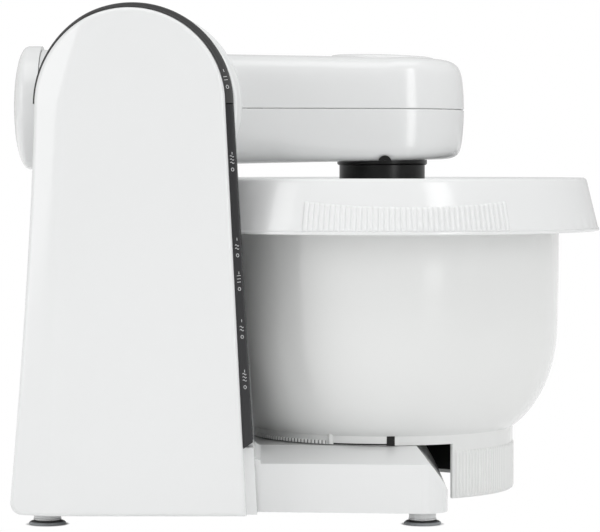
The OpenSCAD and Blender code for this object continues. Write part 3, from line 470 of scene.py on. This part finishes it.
mark_ink = shader("pale_pad_printing_ink", "#c9cacb", 0.4, 0.6, 0.05)
line_width = 0.34 * mm
ink_depth = 0.3 * mm
ink_proud = 0.05 * mm
marks_inset = 2.7 * mm
mark_heights = (268 * mm, 219 * mm, 168 * mm, 148 * mm, 119.5 * mm, 89.5 * mm)
turn = np.linspace(0, 2 * pi, 17)
ring = np.stack([0.75 * mm * np.cos(turn), 0.95 * mm * np.sin(turn) - 3.6 * mm], axis=-1)
tick = np.stack([np.full(5, 0.2 * mm), np.linspace(5.2 * mm, 6.8 * mm, 5)], axis=-1)
t = np.linspace(0, 1, 13)
points, faces, count = [], [], 0
for group, height in enumerate(mark_heights):
    bend = 0.45 * mm * np.sin(2 * pi * t) if group % 3 else 0.25 * mm * t
    waves = [np.stack([2.2 * mm * t - 1.1 * mm, 0.4 * mm + 1.9 * mm * i + bend], axis=-1)
             for i in range(2 + group % 2)]
    for line in (ring, *waves, tick):
        across, up = np.moveaxis(stroke(line, line_width), -1, 0)
        z = height + up
        arch_x = pivot_x + np.sqrt(arch_r**2 - np.clip(z - pivot_z, 0, None) ** 2)
        rim = np.where(z > pivot_z, arch_x, trim_front(z))
        y = face_y(rim, z, 0) - proud - bulge - ink_proud
        top = np.stack([rim - marks_inset + across, y, z], axis=-1)
        bar = np.concatenate([top, top[::-1] + (0, ink_depth, 0)])
        points.append(bar.reshape(-1, 3))
        faces.append(count + grid_quads(4, len(line), closed_up=True))
        count += len(points[-1])
strip_marks = mesh_object("strip_marks", np.concatenate(points), np.concatenate(faces))
closed(strip_marks)
strip_marks.data.materials.append(mark_ink)
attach(strip_marks, "stand")

# ---- Arm ---------------------------------------------------------------------------------
# Two moulded ABS shells meet in a fine groove at mid-height. Their section goes from round at
# the rear, where the cover sits, to a rounded box at the front, with a full round nose.
arm_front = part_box("arm_upper_shell")[1][0] - bowl_x
arm_rear = bowl_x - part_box("arm_upper_shell")[0][0]
half_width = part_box("arm_upper_shell")[1][1]
rear_half_width = 38.5 * mm
seam_gap = 0.24 * mm


def smooth(t):
    """0 below t = 0 and 1 above t = 1, and between them three t squared less two t cubed."""
    t = np.clip(t, 0, 1)
    return t * t * (3 - 2 * t)


def rear_share(x):
    """0 along the arm's flanks, rising smoothly to 1 at its rear end. Like all that follows it
    takes x from the bowl's axis."""
    return smooth((-150 * mm - x) / (arm_rear - 150 * mm))


def flank(x):
    """Half width: constant, then narrowing at the rear."""
    return half_width + (rear_half_width - half_width) * rear_share(x)


def seam(x):
    """Height of the seam: at the pivot's height in the rear, falling by 1.5 mm to the nose."""
    share = (x + arm_rear) / (arm_front + arm_rear)
    return pivot_z - 1.5 * mm * (1 - rear_share(x)) * (0.6 + 0.4 * share)


def edge_z(x, up):
    """Height of the top (up = 1) or the bottom (up = -1): 37 mm from the pivot at the rear,
    and in front of the tower the top falls from 35.2 mm to 30.7 mm and the bottom rises from
    38.2 mm to 32.6 mm. Over 40 mm the one passes smoothly into the other."""
    share = (x + arm_rear) / (arm_front + arm_rear)
    rear = 37 - 3 * share
    fore = 35.2 - 4.5 * share if up > 0 else 38.2 - 5.6 * share
    return pivot_z + up * (rear + (fore - rear) * smooth((x + 140 * mm) / (40 * mm))) * mm


def arm_half(name, squareness, up):
    """Shell above (up = 1) or below (up = -1) the seam. At the share s of the height, a
    superellipse of squareness n leaves the share (1 - s^n)^(1/n) of the plan, and n falls to
    2, a circle, at the rear. The nose also draws back by 6 percent of s squared, and the first
    0.5 mm beside the seam is drawn in by 1.2 percent."""
    side = np.append(-arm_rear + (arm_rear - 5 * mm) * np.linspace(0, 1, 70), -2 * mm)
    turn = np.linspace(-pi / 2, pi / 2, 90)
    nose_y = half_width * np.sign(turn) * np.abs(np.sin(turn)) ** 0.9
    plan_x = np.concatenate([side, arm_front * np.cos(turn) ** 0.9, side[::-1]])
    plan_y = np.concatenate([-flank(side), nose_y, flank(side[::-1])])
    n = squareness(plan_x)
    n = n + (2 - n) * rear_share(plan_x)
    groove_s = 0.016
    low_shares = (0, groove_s / 2, groove_s, 0.03, 0.08)
    rows = []
    for s in np.concatenate([low_shares, 1 - (1 - np.linspace(0.1, 1, 52)) ** 2.4]):
        keep = (1 - s**n) ** (1 / n)
        draw = 1 - 0.012 * max(0, 1 - s / groove_s) ** 1.5
        x = np.where(plan_x > 0, plan_x * keep * draw * (1 - 0.06 * s * s), plan_x)
        start = seam(x) + seam_gap / 2 * up
        z = start + (edge_z(x, up) - start) * s
        rows.append(np.stack([x + bowl_x, plan_y * keep * draw, z], axis=-1))
    grid = np.array(rows)
    piece = surface(name, grid if up > 0 else grid[:, ::-1], around=True)
    closed(piece, fill=False, distance=2e-6)
    return piece


def cutter(axis, centre, radius, start, end):
    """Closed cylinder along an axis (0, 1 or 2) from start to end, for cutting openings."""
    turn = np.linspace(0, 2 * pi, 96, endpoint=False)
    rows = np.zeros((2, 96, 3))
    rows[:, :, (axis + 1) % 3] = centre[0] + radius * np.cos(turn)
    rows[:, :, (axis + 2) % 3] = centre[1] + radius * np.sin(turn)
    rows[:, :, axis] = [[start], [end]]
    piece = surface("cutter", rows, around=True)
    closed(piece)
    return piece


def walled(piece, thickness, offset=-1, even=False):
    """Gives a skin its wall: inwards with offset -1, and to both sides with 0."""
    skin = piece.modifiers.new("wall", "SOLIDIFY")
    skin.thickness = thickness
    skin.offset = offset
    skin.use_even_offset = even


def hollowed(piece, cutters):
    """Gives a skin its 3 mm wall and cuts its openings. The cutters leave empty material slots,
    which are dropped."""
    walled(piece, 3 * mm, even=True)
    for knife in cutters:
        opening = piece.modifiers.new("opening", "BOOLEAN")
        opening.operation = "DIFFERENCE"
        opening.solver = "MANIFOLD"
        opening.object = knife
    finished(piece, 32)
    piece.data.materials.clear()
    for knife in cutters:
        bpy.data.objects.remove(knife)


def half_of(name):
    """Half a CAD node's length along X, which is the radius of an upright turned one."""
    low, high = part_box(name)
    return (high[0] - low[0]) / 2


cap_r = half_of("top_cover")
collar_r = half_of("drive_collar")
rear_hole_r, rear_hole_end = 20 * mm, bowl_x - arm_rear + 8 * mm
high_up, low_down, far_back = 400 * mm, 100 * mm, -300 * mm
notch_x, notch_z, notch_r = bowl_x + 0.2 * mm, pivot_z - 34.6 * mm, 4.2 * mm
arm_upper = arm_half("arm_upper", lambda x: 6 + 2 * np.clip(x / (20 * mm), 0, 1), 1)
hollowed(arm_upper, [
    cutter(2, (bowl_x, 0), cap_r + 0.4 * mm, pivot_z + 20 * mm, high_up),
    cutter(0, (0, pivot_z), rear_hole_r, far_back, rear_hole_end)])
arm_lower = arm_half("arm_lower",
                     lambda x: 4.5 + 7.5 * np.clip((x + 70 * mm) / (60 * mm), 0, 1), -1)
hollowed(arm_lower, [
    cutter(2, (bowl_x, 0), collar_r - 1.2 * mm, low_down, pivot_z - 20 * mm),
    cutter(0, (0, pivot_z), rear_hole_r, far_back, rear_hole_end),
    cutter(1, (notch_z, notch_x), notch_r, -60 * mm, -42 * mm)])
for piece, node in ((arm_upper, "arm_upper_shell"), (arm_lower, "arm_lower_shell")):
    piece.data.materials.append(white_abs)
    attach(piece, "arm")
    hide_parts(node)


# ---- Arm's hub ---------------------------------------------------------------------------
# Where the arm turns in the tower, its flank carries a flat round boss that fills the gap.
# Its rounded edge shows as a bright crescent beside the dark strip.
def lathe(name, profile, axis, centre, start=0.0, end=2 * pi, steps=180, angle=40):
    """Surface of revolution. profile holds (radius, height) rows, height runs along the axis
    (0, 1 or 2), and centre gives the other two coordinates in cyclic order. A full turn closes
    round, and a part of one gets flat ends. Edges sharper than angle show as creases."""
    full = end - start > 2 * pi - 1e-6
    turn = np.linspace(start, end, steps, endpoint=not full)
    radius, along = np.array(profile).T[:, :, None]
    rows = np.zeros((len(profile), steps, 3))
    rows[:, :, (axis + 1) % 3] = centre[0] + radius * np.cos(turn)
    rows[:, :, (axis + 2) % 3] = centre[1] + radius * np.sin(turn)
    rows[:, :, axis] = along
    piece = surface(name, rows, around=full)
    closed(piece, fill=not full)
    finished(piece, angle)
    return piece


hub_r = 60 * mm
hub_x = pivot_x + 3.7 * mm
hub_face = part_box("arm_upper_shell")[0][1]
hub_back = hub_face + 5 * mm
axle_r = half_of("pivot_axle")
edge = [(hub_r - 6 * mm * (1 - sin(t)), hub_face + 4 * mm * (1 - cos(t)))
        for t in np.linspace(0, pi / 2, 8)]
hub = lathe("arm_hub", [(axle_r, hub_face), *edge, (hub_r, hub_back), (axle_r, hub_back),
                        (axle_r, hub_face)], 1, (pivot_z, hub_x))
hub.data.materials.append(white_abs)
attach(hub, "arm")
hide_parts("arm_upper_shell")

# ---- Rear cover --------------------------------------------------------------------------
# A round ABS cover, turned with a shallow dome outside and a 2.5 mm wall, is pushed onto the
# tower's back over the motor's end.
cover_out, cover_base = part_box("rear_cover")[0][0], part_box("rear_cover")[1][0]
cover_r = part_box("rear_cover")[1][1]
cover_wall = 2.5 * mm
dome = [(0, 0), (12, 0.4), (18, 0.9), (24, 1.7), (28, 2.5), (32, 3.5), (34, 4.2), (36, 5.2),
        (37.3, 6), (38.3, 7), (39, 8.2)]
profile = [(r * mm, cover_out + depth * mm) for r, depth in dome]
profile += [(cover_r, cover_out + 9.5 * mm), (cover_r, cover_base),
            (cover_r - cover_wall, cover_base), (cover_r - cover_wall, cover_out + 10 * mm),
            (30 * mm, cover_out + 6 * mm), (0, cover_out + cover_wall)]
rear_dome = lathe("rear_dome", profile, 0, (0, pivot_z), angle=50)
rear_dome.data.materials.append(white_abs)
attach(rear_dome, "rear_cover")
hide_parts("rear_cover")

# ---- Notch's backing ---------------------------------------------------------------------
# Behind the small notch in the arm's lower edge sits a rib of the arm's black nylon frame,
# and the notch shows it as a dark half-round.
rib_r = notch_r - 0.1 * mm
rib_near, rib_far = -49 * mm, -47.5 * mm
profile = [(1 * mm, rib_near), (rib_r, rib_near), (rib_r, rib_far), (1 * mm, rib_far),
           (1 * mm, rib_near)]
notch_back = lathe("notch_back", profile, 1, (notch_z, notch_x), radians(-75), radians(75), 30)
notch_back.data.materials.append(black_nylon)
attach(notch_back, "arm")

# ---- Top cover ---------------------------------------------------------------------------
# A low domed ABS cap closes the high-speed drive above the bowl; it is clipped into the arm's
# top and tips forwards with it.
cap_rim = 287.4 * mm
cap_low = cap_rim - 5.4 * mm
cap_slope = 0.027
profile = [(0, cap_low), (cap_r, cap_low), (cap_r, cap_rim - 2.6 * mm),
           (33.4 * mm, cap_rim - 1.2 * mm), (32 * mm, cap_rim - 0.4 * mm), (30 * mm, cap_rim),
           (24 * mm, cap_rim + 0.35 * mm), (14 * mm, cap_rim + 0.6 * mm),
           (0, cap_rim + 0.7 * mm)]
top_cap = lathe("top_cap", profile, 2, (bowl_x, 0))
points = np.array([point.co for point in top_cap.data.vertices])
points[:, 2] -= cap_slope * (points[:, 0] - bowl_x)
top_cap.data.vertices.foreach_set("co", points.ravel())
top_cap.data.materials.append(white_abs)
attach(top_cap, "top_cover")
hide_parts("top_cover")

# ---- Collar's flange ---------------------------------------------------------------------
# Where the black nylon collar leaves the arm it carries a flange with a rounded lower edge,
# moulded in one with it.
flange_top = pivot_z - 33.2 * mm
flange_low = flange_top - 3.3 * mm
flange_round = 1.4 * mm
profile = [(collar_r - flange_round * (1 - sin(t)), flange_low + flange_round * (1 - cos(t)))
           for t in np.linspace(0, pi / 2, 7)]
profile += [(collar_r, flange_top), (collar_r - 1.8 * mm, flange_top),
            (collar_r - 1.8 * mm, flange_low), profile[0]]
flange = lathe("collar_flange", profile, 2, (bowl_x, 0))
flange.data.materials.append(black_nylon)
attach(flange, "arm")

# ---- Lid's grip flutes -------------------------------------------------------------------
# Half-round ribs moulded on the lid's sloping skirt, so that it can be lifted with wet hands.
# They start above the bright lip and run out higher up towards both ends of the row.
lid_r = half_of("lid")
lid_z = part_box("lid")[0][2]


def ribbed(name, radius, low, high, start, end, pitch, height, round_end=2 * mm,
           valley=-0.25 * mm):
    """Row of upright ribs on a turned wall. radius(z) gives the wall, low the height of their
    lower ends, high(t) that of the upper ones at the share t of the row, and start and end the
    angles from -Y towards +X. Across a rib the height follows half a sine wave to the power
    0.75, at its ends a quarter circle, and between the ribs the surface lies valley metres
    outside the wall."""
    count = round((end - start) * radius((low + high(0.5)) / 2) / pitch)
    columns = 12 * count
    t = np.linspace(0, 1, columns + 1)
    wave = np.abs(np.sin(pi * count * t)) ** 0.75
    turn = start + (end - start) * t
    z = low + (high(t) - low) * np.linspace(0, 1, 26)[:, None]
    near = np.clip(np.minimum(z - low, high(t) - z) / round_end, 0, 1)
    fade = np.sqrt(1 - (1 - near) ** 2)
    r = radius(z) + valley + (height - valley) * wave * fade
    piece = surface(name, np.stack([bowl_x + r * np.sin(turn), -r * np.cos(turn), z], axis=-1))
    walled(piece, 0.8 * mm)
    finished(piece, 60)
    return piece


def lid_skirt(z):
    """Radius of the lid's sloping skirt at height z."""
    return lid_r - 0.8 * mm - 7 * mm * (z - lid_z - 2.2 * mm) / (28.6 * mm)


flutes = ribbed("lid_flutes", lid_skirt, lid_z + 2 * mm,
                lambda t: lid_z + (16.5 + 3.5 * (2 * t - 1) ** 2) * mm,
                radians(-22), radians(32), 3.3 * mm, 1.0 * mm, valley=0.1 * mm)
flutes.data.materials.append(white_abs)
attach(flutes, "lid")

# ---- Bowl --------------------------------------------------------------------------------
# The bowl is moulded in polypropylene, a shade creamier than the casings and nearly as glossy.
# Its foot has bayonet teeth on the lower edge, a lug that strikes the seat's stop, and fine
# flutes for the grip on the part of its skirt that hangs down beyond the platform.
bowl_plastic = shader("moulded_bowl_polypropylene", "#e7e8e7", 0.16, 2.2, 0.03, ior=1.49,
                      shift=0.008)
dress(bowl_plastic, "bowl")
ring_r = 83.8 * mm
ring_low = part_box("platform")[1][2] - 2.4 * mm
skirt_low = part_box("bowl")[0][2]


def level_at(value):
    """The same value everywhere."""
    return lambda place: value + 0 * place


teeth = ribbed("bowl_foot_teeth", level_at(ring_r), ring_low + 0.3 * mm,
               level_at(ring_low + 2.8 * mm), radians(-70), radians(-26), 2.6 * mm, 0.8 * mm,
               round_end=0.3 * mm)
lug = ribbed("bowl_foot_lug", level_at(ring_r), ring_low + 0.1 * mm,
             level_at(ring_low + 10.2 * mm), radians(-25), radians(-22.6), 3.5 * mm, 1.7 * mm,
             round_end=0.6 * mm)
skirt_flutes = ribbed("skirt_flutes", level_at(ring_r), skirt_low + 0.5 * mm,
                      level_at(skirt_low + 29.5 * mm), radians(31), radians(149), 2.6 * mm,
                      0.6 * mm, round_end=1 * mm, valley=0.08 * mm)
for piece in (teeth, lug, skirt_flutes):
    piece.data.materials.append(bowl_plastic)
    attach(piece, "bowl")


# ---- Foot's painted gap shade and window -------------------------------------------------
# Under the bowl's foot a thin black ring is painted shade: it stands for the shadow in the gap,
# showing between the teeth and as a fine line. Beside it one window is filled with a black plate,
# painted shade for the dark inside of the slot, with a wall of the bowl's plastic at its side.
def shield(name, radius, low, high, start, end, thickness):
    """Curved plate round the bowl's axis, between the angles start and end from -Y towards +X,
    with radius outside."""
    turn = np.linspace(start, end, 40)
    inner = radius - thickness
    section = [(radius, low), (radius, high), (inner, high), (inner, low)]
    r, z = np.array(section).T[:, :, None]
    grid = np.stack([bowl_x + r * np.sin(turn), -r * np.cos(turn), z + 0 * turn], axis=-1)
    piece = surface(name, grid, closed_up=True)
    closed(piece)
    finished(piece, 40)
    return piece


painted_gap_shade_low = ring_low + 0.3 * mm
window_low = ring_low + 0.2 * mm
plate = 1 * mm
# These two black plates are painted shade, where the gap under the foot lies in shadow.
painted_gap_shade_teeth = shield("foot_painted_gap_shade_teeth", ring_r + 0.12 * mm, painted_gap_shade_low, ring_low + 2.5 * mm,
                    radians(-70), radians(-26), plate)
painted_gap_shade_line = shield("foot_painted_gap_shade_line", ring_r + 0.12 * mm, painted_gap_shade_low, ring_low + 1.2 * mm,
                   radians(-22.4), radians(0.35), plate)
# This black plate is painted shade for the dark inside of the window's slot.
painted_slot_shade = shield("foot_window_painted_slot_shade", ring_r + 0.15 * mm, window_low, ring_low + 7.8 * mm,
               radians(0.35), radians(3.7), plate)
window_edge = shield("foot_window_edge", ring_r + 0.2 * mm, window_low, ring_low + 5 * mm,
                     radians(3.7), radians(5.4), plate)
for piece, material, slot in ((painted_gap_shade_teeth, black_nylon, "foot_rubber"),
                              (painted_gap_shade_line, black_nylon, "foot_rubber"),
                              (painted_slot_shade, black_nylon, "black_plastic"),
                              (window_edge, bowl_plastic, "bowl_plastic")):
    piece.data.materials.append(material)
    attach(piece, "bowl")

# ---- Painted shade inside the skirt ------------------------------------------------------
# A curved black plate stands on the platform's far end, inside the bowl's skirt. It is painted
# shade: it stands for the shadow in the gap between the two.
painted_shade_plate = shield("skirt_painted_shade_plate", 79.6 * mm, 15.6 * mm, 46 * mm, radians(121), radians(161), 1.4 * mm)
painted_shade_plate.data.materials.append(black_nylon)
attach(painted_shade_plate, "stand")

# ---- Fillet at the tower's foot ----------------------------------------------------------
# Where the platform runs into the tower, a small moulded ABS fillet fills the corner under
# the strip and closes the cut-out of the tower's casing.
platform_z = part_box("platform")[1][2]
fillet_r = 4 * mm
fillet_top = platform_z + 0.3 * mm
fillet_x = trim_front(platform_z) + 0.15 * mm


def fillet_section(y):
    """Section at y, as x and z rows: the corner between the tower's front and the platform's
    shoulder, whose height rises by 10.8 mm over 29 mm, rounded with fillet_r."""
    shoulder = 38.2 * mm + 10.8 * mm * (y + 108 * mm) * cos(radians(5.4)) / (29 * mm)
    turn = np.linspace(0, pi / 2, 9)
    low = shoulder - 3 * mm
    curve_z = np.minimum(shoulder + fillet_r * (1 - np.sin(turn)) + 0.15 * mm, fillet_top)
    back = fillet_x - 14 * mm
    x = np.concatenate([[back, back, fillet_x], fillet_x + fillet_r * (1 - np.cos(turn)),
                        [fillet_x + fillet_r]])
    return x, np.concatenate([[low, fillet_top, fillet_top], curve_z, [low]])


rows = []
for y in np.linspace(parting_y + 0.3 * mm, -84 * mm, 14):
    x, z = fillet_section(y)
    rows.append(np.stack([x, np.full_like(x, y), z], axis=-1))
fillet = surface("foot_fillet", np.array(rows), around=True)
closed(fillet)
finished(fillet, 40)
fillet.data.materials.append(white_abs)
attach(fillet, "stand")

# ---- Suction feet ------------------------------------------------------------------------
# Four rubber cups are pressed over the posts. The rubber is matt and finely grained, and its two
# tones are painted light: black on the upper side is painted shade under the post's lip, light
# grey below is a painted reflection of the floor. Each post has a bright lip above its cup.
cup_rubber = blank(bpy.data.materials.new("foot_cup_painted_shade_and_reflection"))
where = add(cup_rubber, "ShaderNodeTexCoord").outputs["Object"]
height = add(cup_rubber, "ShaderNodeSeparateXYZ", Vector=where).outputs["Z"]
# Painted light: above 1.5 to 2 mm the cup turns black as painted shade, and below that it is
# light grey as a painted reflection of the floor.
painted_shade_top = add(cup_rubber, "ShaderNodeMapRange", {"interpolation_type": "SMOOTHSTEP"},
             Value=height, From_Min=1.5 * mm, From_Max=2 * mm).outputs["Result"]
grain = add(cup_rubber, "ShaderNodeTexNoise", Vector=where, Scale=1200.0, Detail=2.0)
tone = add(cup_rubber, "ShaderNodeMix", {"data_type": "RGBA"}, _0=painted_shade_top,
           _6=linear("#9a9da0"), _7=linear("#141415"))
relief = add(cup_rubber, "ShaderNodeBump", Height=grain.outputs["Fac"], Strength=0.1,
             Distance=0.2 * mm)
body = add(cup_rubber, "ShaderNodeBsdfPrincipled", Base_Color=tone.outputs[2],
           Normal=relief.outputs["Normal"], Roughness=0.5)
add(cup_rubber, "ShaderNodeOutputMaterial", Surface=body.outputs["BSDF"])
dress(cup_rubber, *feet)
cup = np.array([(0, 1.2), (5, 1.0), (9.4, 0.4), (10.6, 0), (11.1, 0.1), (11.3, 0.7), (11.0, 1.4),
                (10.0, 2.0), (8.6, 2.4), (7.9, 2.6), (0, 2.6)]) * mm
lip = np.array([(7, 2.3), (8.2, 2.8), (8.6, 3.2), (8.4, 3.8), (7, 4.0), (7, 2.3)]) * mm
for foot in feet:
    centre = (centre_of(foot, 0), centre_of(foot, 1))
    rubber_cup = lathe(foot + "_cup", cup, 2, centre, steps=72)
    rubber_cup.data.materials.append(cup_rubber)
    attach(rubber_cup, "stand")
    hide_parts(foot)
    post_lip = lathe(foot + "_post_lip", lip, 2, centre, steps=72)
    post_lip.data.materials.append(white_abs)
    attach(post_lip, "stand")

# ---- Softened edges ----------------------------------------------------------------------
# The plain mouldings leave the mould with small radii along every edge, which catch the
# light. Their loose triangles are welded first.
edge_radii_mm = {"platform": 1.0, "tower_inner_shell": 1.0, "lid": 0.5, "bowl": 0.6}
for name, radius in edge_radii_mm.items():
    weld = nodes[name].modifiers.new("weld", "WELD")
    weld.merge_threshold = 1e-5
    bevel = nodes[name].modifiers.new("edge", "BEVEL")
    bevel.width = radius * mm
    bevel.limit_method = "ANGLE"
    bevel.angle_limit = radians(32)
    bevel.segments = 3
    bevel.harden_normals = True

# ---- Painted shade facing the bowl -------------------------------------------------------
# A charcoal sheet lines the hollow in the tower that the bowl's lid and flank stand in. It is
# painted shade and painted reflection: the lid and the bowl mirror it at their left ends, and it
# takes away the light they would get from there.
turn = np.linspace(radians(-158), radians(-133), 40)
z = np.linspace(52 * mm, 222 * mm, 60)[:, None]
r = hollow_r(z) - 0.25 * mm
panel = surface("recess_painted_shade_sheet", np.stack([bowl_x + r * np.cos(turn), r * np.sin(turn),
                                          z + 0 * turn], axis=-1))
walled(panel, 0.4 * mm, offset=0)
finished(panel, 50)
panel.data.materials.append(strip_black)
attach(panel, "stand")
